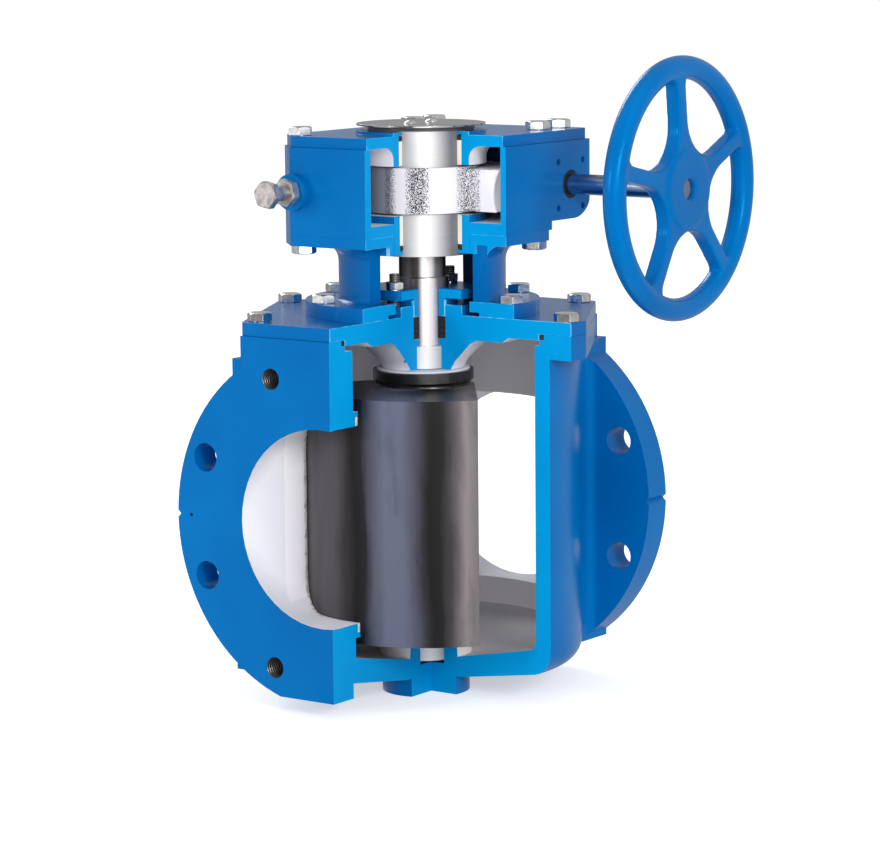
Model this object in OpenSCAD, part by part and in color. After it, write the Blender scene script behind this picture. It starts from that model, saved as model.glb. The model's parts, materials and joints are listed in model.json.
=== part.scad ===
// Eccentric plug valve, 6 inch, with worm gear operator and handwheel.
// A display valve: one quarter of every casting is cut away to show the plug and the gearing.
// Millimetres. The origin is on the stem axis at the underside of the foot boss, +Z is up.
// Water enters at the -X flange and leaves at the +X flange; the handwheel shaft lies along Y.

/* [Flanges] */
// Distance between the two flange faces
face_to_face = 266.7; // [260:0.1:290]
// Outside diameter of both flanges
flange_od = 279.4; // [276:0.1:290]
// Thickness of a flange
flange_thick = 25.4; // [22:0.1:27]
// Diameter of the round port at each flange face
port_d = 152.4; // [140:0.1:156]
// Diameter of the circle that the eight flange holes lie on
bolt_circle = 241.3; // [238:0.1:246]
// Diameter of the four through holes beside the neck
bolt_hole_d = 22.2; // [18:0.1:24]
// Diameter of the four tapped holes above and below the neck
tapped_hole_d = 16.4; // [12:0.1:20]
// How far the inlet flange is machined flat under its rim, measured from the flow axis
flange_flat = 133.5; // [130:0.1:138]

/* [Valve body] */
// Inside radius of the plug chamber
chamber_r = 110; // [107:0.5:112]
// Wall thickness of the chamber
body_wall = 13.5; // [11:0.5:15]
// Half the width of the neck between the chamber and a flange
neck_half = 84; // [80:0.5:90]
// Radius of the fillet where the neck meets the back of a flange
neck_fillet = 8; // [4:0.5:10]
// Height of the joint face for the bonnet above the flow axis
body_top = 142.7; // [140:0.1:150]
// Depth of the joint flange round the top of the body
top_rim_t = 18.7; // [14:0.1:22]
// Depth of the chamber floor beside the wall, below the flow axis
floor_edge = 103; // [101:0.5:106]
// Depth of the chamber floor beside the journal boss, below the flow axis
floor_mid = 116; // [113:0.5:118]
// Thickness of the chamber floor
floor_t = 16; // [12:0.5:20]
// Distance from the flow axis down to the underside of the foot boss
foot_drop = 146.5; // [143:0.1:155]
// Radius of the foot boss and of the journal boss above it
foot_r = 34.5; // [30:0.5:38]

/* [Seat] */
// Half the width of the seat opening
seat_half_w = 58; // [54:0.5:59]
// Half the height of the seat opening
seat_half_h = 76; // [70:0.5:77]
// Corner radius of the seat opening
seat_corner = 25; // [15:0.5:30]
// Width of the nickel seat face
seat_land = 7; // [4:0.5:7]
// Depth of the nickel seat
seat_depth = 3; // [2:0.25:4]

/* [Plug] */
// Radius of the plug's sealing face
face_r = 98.5; // [97:0.5:99]
// Offset of the sealing face's centre from the stem axis
eccentricity = 6; // [4:0.5:7]
// Half the angle that the sealing face spans
face_half_angle = 57.5; // [55:0.5:58]
// Height of the plug above the flow axis
plug_top = 96; // [93:0.5:98]
// Depth of the plug below the flow axis
plug_bottom = 93; // [92:0.5:93.5]
// Radius of the plug's hub column
hub_r = 40; // [36:0.5:43]
// Radius of the rubber collar on top of the plug
collar_r = 39.4; // [36:0.1:40]
// Thickness of the rubber over the casting
rubber_t = 3.5; // [2.5:0.25:5]

/* [Stem] */
// Radius of the stem and of the lower journal
stem_r = 20.5; // [18:0.25:21]
// Radius of the stem end inside the drive sleeve
stem_end_r = 18.3; // [15:0.1:19]
// Height of the shoulder on the stem above the flow axis
stem_shoulder = 181; // [178:0.5:190]
// Outside radius of both journal bushings
journal_or = 23.5; // [22.5:0.1:25]
// Radial gap of every running fit
run_gap = 0.05; // [0.02:0.01:0.09]

/* [Bonnet] */
// Thickness of the bonnet plate
bonnet_t = 10.3; // [8:0.1:14]
// Distance of the bonnet's ends behind the flange faces
bonnet_set_back = 1.35; // [0.35:0.05:3]
// Half the width of the bonnet's flat ends beside the flanges
bonnet_half_y = 75; // [72:0.5:80]
// Distance from the stem axis to the points of the bonnet at both sides
bonnet_point_y = 143; // [138:0.5:148]
// Radius of the spigot that centres the bonnet in the body
spigot_r = 114; // [113:0.1:115]
// Radius of the stuffing box boss
box_r = 43; // [40:0.5:45]
// Outside radius of the packing
packing_r = 27.5; // [26:0.25:29]
// Height of the stuffing box boss above the plate
box_h = 7.5; // [5:0.5:9]

/* [Gland] */
// Thickness of the gland flange
gland_t = 8; // [6:0.5:10]
// Gap between the stuffing box boss and the gland flange
gland_gap = 4.5; // [3:0.5:6]
// Distance of the two gland studs from the stem axis
gland_stud_x = 36.5; // [35:0.5:38]
// Length of stud that stands above its nut
stud_show = 6; // [3:0.5:8]

/* [Adapter] */
// Radius of the adapter's round base
adapter_base_r = 91; // [88:0.5:94]
// Thickness of the adapter's round base
adapter_base_t = 11; // [9:0.5:14]
// Height of the adapter from the bonnet to the gear housing
adapter_h = 63; // [60:0.5:70]
// Thickness of the adapter's top plate
adapter_top_t = 8; // [7:0.5:10]
// Inside radius of the two legs
leg_r = 52; // [51:0.5:54]
// Thickness of a leg
leg_t = 13; // [10:0.5:15]
// Angle that one leg spans
leg_span = 94; // [70:1:96]

/* [Gear housing] */
// Distance from the stem axis to the housing face with the stop bolt
housing_left = 86; // [84:0.5:90]
// Distance from the stem axis to the end of the worm barrel
housing_right = 113.5; // [112:0.5:120]
// Half the width of the housing across the worm shaft's direction
housing_half_y = 84; // [83:0.5:88]
// Wall thickness of the housing
housing_wall = 7; // [5.5:0.5:8]
// Height of the housing without its cover
housing_h = 67.5; // [66:0.5:72]
// Thickness of the housing's floor
housing_floor = 9; // [7:0.5:10]
// Thickness of the cover
cover_t = 8.5; // [7:0.5:11]
// Step between the edges of the cover and of the housing
cover_step = 2.5; // [1:0.5:4]

/* [Gearing] */
// Module of the worm wheel's teeth
gear_module = 3; // [3:0.01:3.05]
// Number of teeth on a whole wheel
wheel_teeth = 47; // [46:1:47]
// Pitch radius of the worm
worm_pitch_r = 12; // [11.5:0.1:12.5]
// Height of the worm wheel's rim
wheel_h = 32; // [28:0.5:34]
// Height of the worm wheel's hub
wheel_hub_h = 35; // [33:0.5:36]
// Radius of the worm wheel's hub
wheel_hub_r = 44; // [43:0.5:48]
// Turning angle of the valve from shut to open
valve_turn = 90; // [85:1:90]
// Angle of the toothed sector beyond the worm when the valve is shut
sector_tail = 38; // [34:0.5:39]
// Angle of the toothed sector beyond the worm when the valve is open
sector_lead = 7; // [7:0.5:12]
// Outside radius of the drive sleeve
sleeve_r = 39.5; // [36:0.5:40]
// Wall thickness of the sleeve's bushings
sleeve_bush_t = 4; // [3:0.5:5]

/* [Handwheel] */
// Outside diameter of the handwheel
wheel_od = 203; // [180:1:230]
// Thickness of the rim
rim_d = 18; // [14:0.5:20]
// Number of spokes
spoke_count = 5; // [4:1:6]
// Width of a spoke between its fillets
spoke_w = 12; // [9:0.5:16]
// Thickness of the spokes
spoke_t = 12; // [8:0.5:13]
// Radius of the hollow between two spokes at the hub
hub_fillet = 32; // [24:1:36]
// Radius of the hollow between a spoke and the rim
rim_fillet = 9; // [5:0.5:12]
// Distance from the stem axis to the middle of the rim
rim_y = 184; // [175:0.5:200]
// Distance from the middle of the rim to the front face of the hub
hub_dish = 9; // [8:0.5:12]
// Radius of the raised disc on the front of the hub
hub_face_r = 30; // [24:0.5:31]
// Radius of the boss at the back of the hub
hub_boss_r = 20; // [17:0.5:23]
// Length of the hub behind the middle of the rim
hub_back = 14; // [12:0.5:20]
// Diameter of the input shaft
shaft_d = 16; // [14:0.5:16]
// Distance of the shaft's end behind the face of the hub
shaft_recess = 3; // [0:0.5:4]

/* [Cutaway] */
// The removed quarter lies beyond this distance from the stem axis along the flow
cut_x = 7; // [5:0.5:12]
// The removed quarter lies beyond this distance from the flow axis
cut_y = 10; // [5:0.5:12]

/* [Hidden] */
$fn = 96;
touch = 0.01;
far = 400;

// Flanges and body
port_r = port_d / 2;
flange_r = flange_od / 2;
face_x = face_to_face / 2;
flange_back = face_x - flange_thick;
hole_step = 22.5;
chamber_or = chamber_r + body_wall;
floor_corner = 7;
shell_corner = 18;
neck_depth = 14;
inlet_wall_x = chamber_r - 5.5;
journal_boss_top = plug_bottom + 3;
rim_low = body_top - top_rim_t;
seat_gap = 0.3;
seat_r = face_r + seat_gap;
lip_extra = 4;
journal_depth = 27;
thrust_gap = 0.2;
ring_r = 1.9;
ring_room = 2 * ring_r + 0.6;
notch = 4;
gauge_hole_r = 1.5;

// Levels above the flow axis, from the bonnet to the top of the operator
bonnet_half_x = face_x - bonnet_set_back;
bonnet_top = body_top + bonnet_t;
hub_low = 110;
collar_top = hub_low - 1.5;
bushing_top = 128;
box_floor = 134;
cone_r = 36;
cone_low = 117;
cone_h = box_floor - 3 - cone_low;
recess_r = 80;
recess_step = 4;
box_top = bonnet_top + box_h;
gland_low = box_top + gland_gap;
gland_top = gland_low + gland_t;
packing_count = 4;
packing_h = 17;
base_top = bonnet_top + adapter_base_t;
housing_low = bonnet_top + adapter_h;
plate_low = housing_low - adapter_top_t;
adapter_right = 56;
leg_angles = [131, 311];
housing_corner = 22;
cavity_low = housing_low + housing_floor;
housing_top = housing_low + housing_h;
cover_top = housing_top + cover_t;
gear_z = housing_low + housing_h / 2;
barrel_r = 26;
cavity_right = 50;
worm_pocket = 20;

// Gearing
tooth_depth = 2.25 * gear_module;
wheel_pitch_r = gear_module * wheel_teeth / 2;
wheel_throat_r = wheel_pitch_r + gear_module;
wheel_rim_r = wheel_throat_r + 4;
worm_x = wheel_pitch_r + worm_pitch_r;
worm_lead = PI * gear_module;
worm_tip_r = worm_pitch_r + gear_module;
worm_root_r = worm_pitch_r - 1.25 * gear_module;
lead_angle = atan(worm_lead / (2 * PI * worm_pitch_r));
tooth_pitch = 360 / wheel_teeth;
first_space = -ceil((valve_turn + sector_lead) / tooth_pitch);
last_space = floor((sector_tail - 3) / tooth_pitch);
throat_r = 34;
flank_gap = 0.3;
worm_half = 19;
shaft_r = shaft_d / 2;
bearing_or = 14;
bearing_low = 2 * worm_half + 2;
bearing_high = 56;
shaft_end_y = bearing_high + 2;
seal_or = shaft_r + 3.2;
seal_t = 7;
cap_t = 7;
cap_half_x = 17;
cap_half_z = 18;
cap_screw_reach = 10;

// Keys: the side of each square key, and where the long ones lie
stem_key_w = 8;
wheel_key_w = 5;
sleeve_key_half = 14;

// Handwheel
web_r = wheel_od / 2 - rim_d / 2 - 4;
web_front = rim_y + spoke_t / 2 + 1;
spoke_start = -48;
set_screw_r = 3;
set_screw_y = hub_back - 7;

// Drive sleeve and its bearings
sleeve_low = housing_low - 17;
sleeve_top = cover_top + 3.2;
sleeve_socket = 40;
bush_or = sleeve_r + sleeve_bush_t;
boss_r = bush_or + 7;
spigot_low = sleeve_low + 2;
boss_gap = 1.5;
lip_t = 2.5;

// Fasteners: shank radius, distance across flats, head height
m10 = [5, 17, 6.8];
m12 = [6, 19, 7.5];
m8 = [4, 13, 6.5];
m6 = [3, 10, 4];
m5 = [2.5, 8, 3.5];
hole_gap = 0.5;

// Places of the fasteners in plan; those of the removed quarter are left out with it
bonnet_bolt_x = bonnet_half_x - 14;
bonnet_bolt_y = bonnet_half_y - 7;
bonnet_bolt_places = [[-bonnet_bolt_x, bonnet_bolt_y], [bonnet_bolt_x, bonnet_bolt_y],
    [bonnet_bolt_x, -bonnet_bolt_y], [0, bonnet_point_y - 12], [0, 9 - bonnet_point_y]];
base_bolt_angles = [30, 90, 150, 270, 330];
base_bolt_r = adapter_base_r - 8;
cover_bolt_reach = 20;
cover_bolt_y = housing_half_y - 24;
cover_bolt_places = [[14 - housing_left, cover_bolt_y + 2],
    for (x = [housing_right - 41.5, housing_right - 12.5], side = [1, -1]) [x, side * cover_bolt_y]];
top_bolt_places = [[14 - housing_left, cover_bolt_y],
    for (side = [1, -1]) [adapter_right - 10, side * (housing_half_y - 10)]];

// Open stop: its tip meets the end of the toothed sector when the valve is open
stop_y = 57;
stop_boss = 6;
stop_boss_r = 14;
stop_nut_t = 9;
stop_tip_x = seat_gap - wheel_rim_r * cos(sector_tail + valve_turn);
stop_head_x = housing_left + 30;

// Indicator
screw_x = 14;
base_disc_t = 3;
plate_r = 50;
plate_t = 1.5;
plate_low_z = sleeve_top + base_disc_t;
plate_top_z = plate_low_z + plate_t;

// Round corners of radius rad on a closed outline, each of them n short steps
function unit(v) = v / norm(v);
function corner(a, b, c, rad, n) =
    let (u = unit(a - b), v = unit(c - b), half = acos(u * v) / 2,
         mid = b + unit(u + v) * rad / sin(half),
         p0 = b + u * rad / tan(half) - mid,
         turn = (u[0] * v[1] - u[1] * v[0] > 0 ? -1 : 1) * (180 - 2 * half))
    [for (i = [0 : n]) let (t = turn * i / n)
        mid + [p0[0] * cos(t) - p0[1] * sin(t), p0[0] * sin(t) + p0[1] * cos(t)]];
function rounded(pts, rad, n = 5) =
    let (m = len(pts))
    [for (i = [0 : m - 1]) each corner(pts[(i + m - 1) % m], pts[i], pts[(i + 1) % m], rad, n)];
function arc(cx, cy, rad, from, to, n = 6) =
    [for (i = [0 : n]) let (a = from + (to - from) * i / n) [cx + rad * cos(a), cy + rad * sin(a)]];

// Lifts a piece from the flow axis frame to the frame of the foot
module raised() translate([0, 0, foot_drop]) children();

module sectioned() difference() {
    children();
    translate([-far - cut_x, -far - cut_y, -far]) cube([far, far, 3 * far]);
}

module tube(inner, outer, low, high) translate([0, 0, low]) difference() {
    cylinder(r = outer, h = high - low);
    translate([0, 0, -1]) cylinder(r = inner, h = high - low + 2);
}

module rod_z(r, low, high) translate([0, 0, low]) cylinder(r = r, h = high - low);
module rod_x(r, from, to) translate([from, 0, 0]) rotate([0, 90, 0]) cylinder(r = r, h = to - from);
module rod_y(r, from, to) translate([0, from, 0]) rotate([-90, 0, 0]) cylinder(r = r, h = to - from);

module o_ring(mid_r, z, r = ring_r) translate([0, 0, z]) rotate_extrude()
    translate([mid_r, 0]) circle(r = r, $fn = 24);

// Hexagon bolt with its head above z = 0 and its shank below
module hex_bolt(size, length) {
    cylinder(r = size[1] / 2 / cos(30), h = size[2], $fn = 6);
    translate([0, 0, -length]) cylinder(r = size[0], h = length + touch);
}

module hex_nut(size) difference() {
    cylinder(r = size[1] / 2 / cos(30), h = size[2], $fn = 6);
    translate([0, 0, -1]) cylinder(r = size[0], h = size[2] + 2);
}

module at_places(places) for (p = places) translate([p[0], p[1], 0]) children();

// Valve body

module neck_outline(half_w, half_h, r) polygon(rounded(
    [[half_w, half_h], [-half_w, half_h], [-half_w, -half_h], [half_w, -half_h]], r));

// A prism along X whose outline lies in the YZ plane
module prism_x(from, to) translate([from, 0, 0]) rotate([90, 0, 90]) linear_extrude(to - from) children();

// The passage from the round port to the tall seat opening, at the +X side
module passage() {
    hull() {
        prism_x(face_x, face_x + 1) circle(r = port_r, $fn = 48);
        prism_x(inlet_wall_x - 1, inlet_wall_x) neck_outline(seat_half_w, seat_half_h, seat_corner);
    }
    prism_x(chamber_r / 2, inlet_wall_x) neck_outline(seat_half_w, seat_half_h, seat_corner);
}

module body_shell() rotate_extrude() polygon(concat(
    [[0, rim_low + 1], [0, -floor_mid - floor_t], [foot_r + 5, -floor_mid - floor_t]],
    arc(chamber_or - shell_corner, -floor_edge - floor_t + shell_corner - 3, shell_corner, -80, 0),
    [[chamber_or, rim_low + 1]]));

module chamber() intersection() {
    rotate_extrude() polygon(concat(
        [[0, body_top + 1], [0, -journal_boss_top], [foot_r, -journal_boss_top],
         [foot_r + 2, -floor_mid]],
        arc(chamber_r - floor_corner, -floor_edge + floor_corner, floor_corner, -82, 0),
        [[chamber_r, body_top + 1]]));
    translate([-inlet_wall_x, -far, -far]) cube([2 * far, 2 * far, 2 * far]);
}

module flange(flat_at) intersection() {
    union() {
        rod_x(flange_r, flange_back, face_x);
        translate([flange_back, -bonnet_half_y, 0])
            cube([flange_thick, 2 * bonnet_half_y, body_top]);
    }
    translate([0, -far, -flat_at]) cube([far, 2 * far, 2 * far]);
}

module neck() {
    translate([chamber_or / 2, -neck_half, -floor_edge - neck_depth])
        cube([face_x - chamber_or / 2 - 1, 2 * neck_half, floor_edge + neck_depth + rim_low + 1]);
    for (side = [-1, 1]) intersection() {
        rod_x(flange_r, flange_back - neck_fillet, face_x - 1);
        translate([flange_back - neck_fillet, side * neck_half, -flange_r]) difference() {
            translate([0, side < 0 ? -neck_fillet : 0, 0])
                cube([neck_fillet + 1, neck_fillet, 2 * flange_r]);
            translate([0, side * neck_fillet, -1]) cylinder(r = neck_fillet, h = 2 * flange_r + 2);
        }
    }
}

module flange_holes() for (i = [0 : 7]) rotate([hole_step + 45 * i, 0, 0])
    translate([0, bolt_circle / 2, 0]) {
        if (i == 0 || i == 3 || i == 4 || i == 7) rod_x(bolt_hole_d / 2, flange_back - 40, face_x + 1);
        else rod_x(tapped_hole_d / 2, flange_back + 1, face_x + 1);
    }

module rim_notches() for (side = [-1, 1]) translate([flange_back - 1, side * flange_r, 0])
    rotate([45, 0, 0]) translate([0, -notch / 2, -notch / 2]) cube([flange_thick + 2, notch, notch]);

module bonnet_plan() polygon(rounded([
    [bonnet_half_x, bonnet_half_y], [0, bonnet_point_y],
    [-bonnet_half_x, bonnet_half_y], [-bonnet_half_x, -bonnet_half_y], [-14, -bonnet_point_y],
    [14, -bonnet_point_y], [bonnet_half_x, -bonnet_half_y]], 8));

// The lip carries the seat; its face is bored about the centre of the plug's sealing face
module seat_lip() difference() {
    prism_x(-chamber_r, -chamber_r / 2) neck_outline(seat_half_w + seat_land + lip_extra,
        seat_half_h + seat_land + lip_extra, seat_corner + seat_land + lip_extra);
    translate([0, -eccentricity, -far / 2]) cylinder(r = seat_r, h = far);
}

module seat_pocket() intersection() {
    prism_x(-chamber_r, -chamber_r / 2) neck_outline(seat_half_w + seat_land,
        seat_half_h + seat_land, seat_corner + seat_land);
    translate([0, -eccentricity, -far / 2]) cylinder(r = seat_r + seat_depth, h = far);
}

module valve_body() color([0.0, 0.40, 0.70]) raised() sectioned() difference() {
    union() {
        difference() {
            union() {
                body_shell();
                translate([0, 0, rim_low]) linear_extrude(top_rim_t) bonnet_plan();
                flange(far);
                mirror([1, 0, 0]) flange(flange_flat);
                neck();
                mirror([1, 0, 0]) neck();
                rod_z(foot_r, -foot_drop, -floor_mid - 1);
            }
            chamber();
            rod_z(spigot_r + seat_gap, box_floor, body_top + 1);
        }
        seat_lip();
    }
    passage();
    mirror([1, 0, 0]) passage();
    seat_pocket();
    flange_holes();
    mirror([1, 0, 0]) flange_holes();
    rim_notches();
    mirror([1, 0, 0]) rim_notches();
    rod_z(journal_or, -journal_boss_top - journal_depth, -journal_boss_top + 1);
    rod_z(spigot_r + ring_room, body_top - ring_room, body_top + 1);
    at_places(bonnet_bolt_places) rod_z(m10[0], rim_low - 6, body_top + 1);
    translate([0, bolt_circle / 2 + 6, 0]) rod_x(gauge_hole_r, -face_x - 1, -face_x + 6);
}

module seat_ring() color([0.80, 0.78, 0.74]) raised() sectioned() difference() {
    seat_pocket();
    translate([0, -eccentricity, -far / 2]) cylinder(r = seat_r, h = far);
    mirror([1, 0, 0]) passage();
}

module lower_journal_bushing() color([0.78, 0.78, 0.76]) raised()
    tube(stem_r + run_gap, journal_or, -journal_boss_top - journal_depth + 3, -journal_boss_top - 1);

module lower_thrust_washer() color([0.85, 0.83, 0.78]) raised()
    tube(stem_r + 1, foot_r - 1, -journal_boss_top, -plug_bottom - thrust_gap);

// Bonnet, packing and gland

module bonnet() color([0.0, 0.45, 0.76]) raised() sectioned() difference() {
    union() {
        translate([0, 0, body_top]) linear_extrude(bonnet_t) bonnet_plan();
        rotate_extrude() polygon([[0, hub_low], [cone_r - 4, hub_low], [cone_r, cone_low],
            [cone_r + cone_h, cone_low + cone_h], [cone_r + cone_h + 6, box_floor],
            [recess_r, box_floor], [recess_r + 6, box_floor + recess_step],
            [spigot_r, box_floor + recess_step], [spigot_r, body_top + 1], [0, body_top + 1]]);
        rod_z(box_r, bonnet_top - 1, box_top);
    }
    rod_z(journal_or, hub_low - 1, bushing_top);
    rod_z(stem_r + 1, hub_low, box_floor + 1);
    rod_z(packing_r, box_floor, box_top + 1);
    at_places(bonnet_bolt_places) rod_z(m10[0] + hole_gap, box_floor, bonnet_top + 1);
    for (a = base_bolt_angles) rotate(a) translate([base_bolt_r, 0, 0])
        rod_z(m10[0], body_top - 1, bonnet_top + 1);
    for (side = [-1, 1]) translate([side * gland_stud_x, 0, 0])
        rod_z(m8[0], box_floor + 8, box_top + 1);
}

module bonnet_o_ring() color([0.06, 0.06, 0.07]) raised() sectioned()
    o_ring(spigot_r + ring_r + 0.3, body_top - ring_r - 0.2);

module bonnet_bolts() color([0.72, 0.72, 0.72]) raised() at_places(bonnet_bolt_places)
    translate([0, 0, bonnet_top]) hex_bolt(m10, bonnet_t + top_rim_t);

module upper_journal_bushing() color([0.78, 0.78, 0.76]) raised()
    tube(stem_r + run_gap, journal_or, hub_low + 0.5, bushing_top);

module upper_thrust_washer() color([0.85, 0.85, 0.85]) raised()
    tube(stem_r + run_gap, collar_r - 3, collar_top, hub_low - thrust_gap);

module packing_rings() color([0.10, 0.10, 0.11]) raised() sectioned()
    for (i = [0 : packing_count - 1]) let (h = packing_h / packing_count)
        tube(stem_r + run_gap, packing_r, box_floor + i * h, box_floor + (i + 1) * h - 0.2);

module packing_gland() color([0.0, 0.45, 0.76]) raised() sectioned() difference() {
    union() {
        rod_z(packing_r - 0.3, box_floor + packing_h, gland_low + 1);
        rod_z(box_r, gland_low, gland_top);
    }
    rod_z(stem_r + 0.7, box_floor, gland_top + 1);
    for (side = [-1, 1]) translate([side * gland_stud_x, 0, 0])
        rod_z(m8[0] + hole_gap, gland_low - 1, gland_top + 1);
}

module gland_studs() color([0.70, 0.70, 0.68]) raised()
    for (side = [-1, 1]) translate([side * gland_stud_x, 0, 0])
        rod_z(m8[0], box_floor + 9, gland_top + m8[2] + stud_show);

module gland_nuts() color([0.70, 0.70, 0.68]) raised()
    for (side = [-1, 1]) translate([side * gland_stud_x, 0, gland_top]) hex_nut(m8);

// Adapter between the bonnet and the gear housing

module adapter_plan() polygon(rounded([
    [-housing_left, housing_corner - housing_half_y], [housing_corner - housing_left, -housing_half_y],
    [adapter_right, -housing_half_y], [adapter_right, housing_half_y],
    [housing_corner - housing_left, housing_half_y],
    [-housing_left, housing_half_y - housing_corner]], 6));

// Leg section: a web that flares into the top plate and stands on a small fillet
module leg_section() polygon(concat(
    [[leg_r, base_top - 1], [leg_r + leg_t + 4, base_top - 1]],
    arc(leg_r + leg_t + 4, base_top + 4, 4, 270, 180, 4),
    arc(leg_r + leg_t + 14, plate_low - 14, 14, 180, 90, 6),
    [[leg_r + leg_t + 14, plate_low + 1], [leg_r, plate_low + 1]]));

module gearbox_adapter() color([0.0, 0.42, 0.73]) raised() sectioned() difference() {
    union() {
        rod_z(adapter_base_r, bonnet_top, base_top);
        for (mid = leg_angles) rotate(mid - leg_span / 2) rotate_extrude(angle = leg_span) leg_section();
        translate([0, 0, plate_low]) linear_extrude(adapter_top_t) adapter_plan();
        rod_z(boss_r + 6, plate_low - 7, housing_low);
    }
    rod_z(leg_r - 2, bonnet_top - 1, plate_low - 7);
    rod_z(leg_r + 7, bonnet_top - 1, bonnet_top + 3);
    rod_z(boss_r + 0.3, plate_low - 8, housing_low + 1);
    for (a = base_bolt_angles) rotate(a) translate([base_bolt_r, 0, 0])
        rod_z(m10[0] + hole_gap, bonnet_top - 1, base_top + 1);
    at_places(top_bolt_places) rod_z(m10[0] + hole_gap, plate_low - 1, housing_low + 1);
}

module adapter_base_bolts() color([0.72, 0.72, 0.72]) raised()
    for (a = base_bolt_angles) rotate(a) translate([base_bolt_r, 0, base_top])
        hex_bolt(m10, adapter_base_t + bonnet_t);

module adapter_top_bolts() color([0.72, 0.72, 0.72]) raised() at_places(top_bolt_places)
    translate([0, 0, plate_low]) mirror([0, 0, 1]) hex_bolt(m10, adapter_top_t + housing_floor - 2);

// Gear housing and cover

module housing_plan(step) polygon(rounded([
    [-housing_left + step, housing_corner - housing_half_y],
    [housing_corner - housing_left, -housing_half_y + step],
    [housing_right - step, -housing_half_y + step], [housing_right - step, housing_half_y - step],
    [housing_corner - housing_left, housing_half_y - step],
    [-housing_left + step, housing_half_y - housing_corner]], 6));

// Round underside of the worm barrel, seen along the shaft
module barrel_outline() polygon(concat(
    [[housing_right + 1, housing_top + 1], [0, housing_top + 1], [0, housing_low],
        [adapter_right, housing_low], [adapter_right, gear_z - 1 - barrel_r]],
    arc(housing_right - barrel_r, gear_z - 1, barrel_r, 270, 360, 8)));

module gear_cavity() {
    difference() {
        translate([0, 0, cavity_low]) linear_extrude(housing_h) {
            polygon(rounded([
                [-housing_left + housing_wall + 2, -housing_half_y + housing_wall + 12],
                [-housing_left + housing_wall + 12, -housing_half_y + 5],
                [cavity_right, -housing_half_y + 5], [cavity_right, housing_half_y - housing_wall],
                [housing_corner + 4 - housing_left, housing_half_y - housing_wall],
                [-housing_left + housing_wall + 2, housing_half_y - housing_corner - 4]], 8));
            circle(r = wheel_throat_r + 6);
        }
        rod_z(boss_r, cavity_low - 1, gear_z - wheel_hub_h / 2 - boss_gap);
    }
    translate([worm_x - worm_pocket - 2, -2 * worm_half, gear_z - worm_tip_r - 3])
        cube([2 * worm_pocket + 2, 4 * worm_half, far]);
}

module gear_housing() color([0.0, 0.42, 0.73]) raised() sectioned() difference() {
    union() {
        intersection() {
            translate([0, 0, housing_low]) linear_extrude(housing_h) housing_plan(0);
            translate([0, far / 2, 0]) rotate([90, 0, 0]) linear_extrude(far) union() {
                barrel_outline();
                translate([-far, 0]) square([far + 1, far]);
            }
        }
        rod_z(boss_r, spigot_low, housing_low + 1);
        translate([0, stop_y, gear_z]) rod_x(stop_boss_r, -housing_left - stop_boss, -housing_left + housing_wall);
    }
    gear_cavity();
    rod_z(bush_or, spigot_low + lip_t, gear_z);
    rod_z(sleeve_r + hole_gap, spigot_low - 1, gear_z);
    translate([worm_x, 0, gear_z]) {
        rod_y(bearing_or, -bearing_high, housing_half_y + 1);
        rod_y(seal_or, -housing_half_y - 1, 0);
        for (x = [-cap_half_x, cap_half_x], z = [-cap_half_z, cap_half_z]) translate([x, 0, z]) {
            rod_y(m5[0], -housing_half_y - 1, -housing_half_y + cap_screw_reach + 2);
            rod_y(m6[0], housing_half_y - cap_screw_reach - 2, housing_half_y + 1);
        }
    }
    translate([0, stop_y, gear_z]) rod_x(m12[0] + run_gap, -housing_left - stop_boss - 1, 0);
    at_places(top_bolt_places) rod_z(m10[0], housing_low - 1, housing_low + housing_floor - 2);
    at_places(cover_bolt_places) rod_z(m10[0], housing_top - cover_bolt_reach - 2, housing_top + 1);
}

module housing_cover() color([0.0, 0.42, 0.73]) raised() sectioned() difference() {
    union() {
        translate([0, 0, housing_top]) linear_extrude(cover_t) housing_plan(cover_step);
        rod_z(boss_r, gear_z + wheel_hub_h / 2 + boss_gap, housing_top + 1);
        rotate_extrude() polygon(concat([[boss_r - 1, housing_top + 1], [boss_r - 1, housing_top - 10]],
            arc(boss_r + 10, housing_top - 10, 10, 180, 90), [[boss_r + 10, housing_top + 1]]));
        rod_z(boss_r, cover_top - 1, cover_top + 2.5);
    }
    rod_z(bush_or, gear_z, cover_top + 2.5 - lip_t);
    rod_z(sleeve_r + hole_gap, gear_z, cover_top + 5);
    at_places(cover_bolt_places) rod_z(m10[0] + hole_gap, housing_top - 1, cover_top + 1);
}

module cover_bolts() color([0.72, 0.72, 0.72]) raised() at_places(cover_bolt_places)
    translate([0, 0, cover_top]) hex_bolt(m10, cover_t + cover_bolt_reach);

module upper_sleeve_bushing() color([0.88, 0.85, 0.76]) raised() sectioned()
    tube(sleeve_r + run_gap, bush_or, gear_z + wheel_hub_h / 2 + boss_gap, cover_top - ring_room);

module lower_sleeve_bushing() color([0.88, 0.85, 0.76]) raised() sectioned()
    tube(sleeve_r + run_gap, bush_or, spigot_low + lip_t + ring_room, gear_z - wheel_hub_h / 2 - boss_gap);

module upper_sleeve_o_ring() color([0.06, 0.06, 0.07]) raised() sectioned()
    o_ring(sleeve_r + ring_r + 0.1, cover_top - ring_room / 2 - 0.1);

module lower_sleeve_o_ring() color([0.06, 0.06, 0.07]) raised() sectioned()
    o_ring(sleeve_r + ring_r + 0.1, spigot_low + lip_t + ring_room / 2);

// Worm shaft and its bearings

module on_worm_axis() translate([worm_x, 0, gear_z]) children();

module bush_y(inner, outer, from, to) difference() {
    rod_y(outer, from, to);
    rod_y(inner, from - 1, to + 1);
}

module worm_front_bearing() color([0.72, 0.55, 0.30]) raised() on_worm_axis()
    bush_y(shaft_r + run_gap, bearing_or, -bearing_high, -bearing_low);

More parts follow.
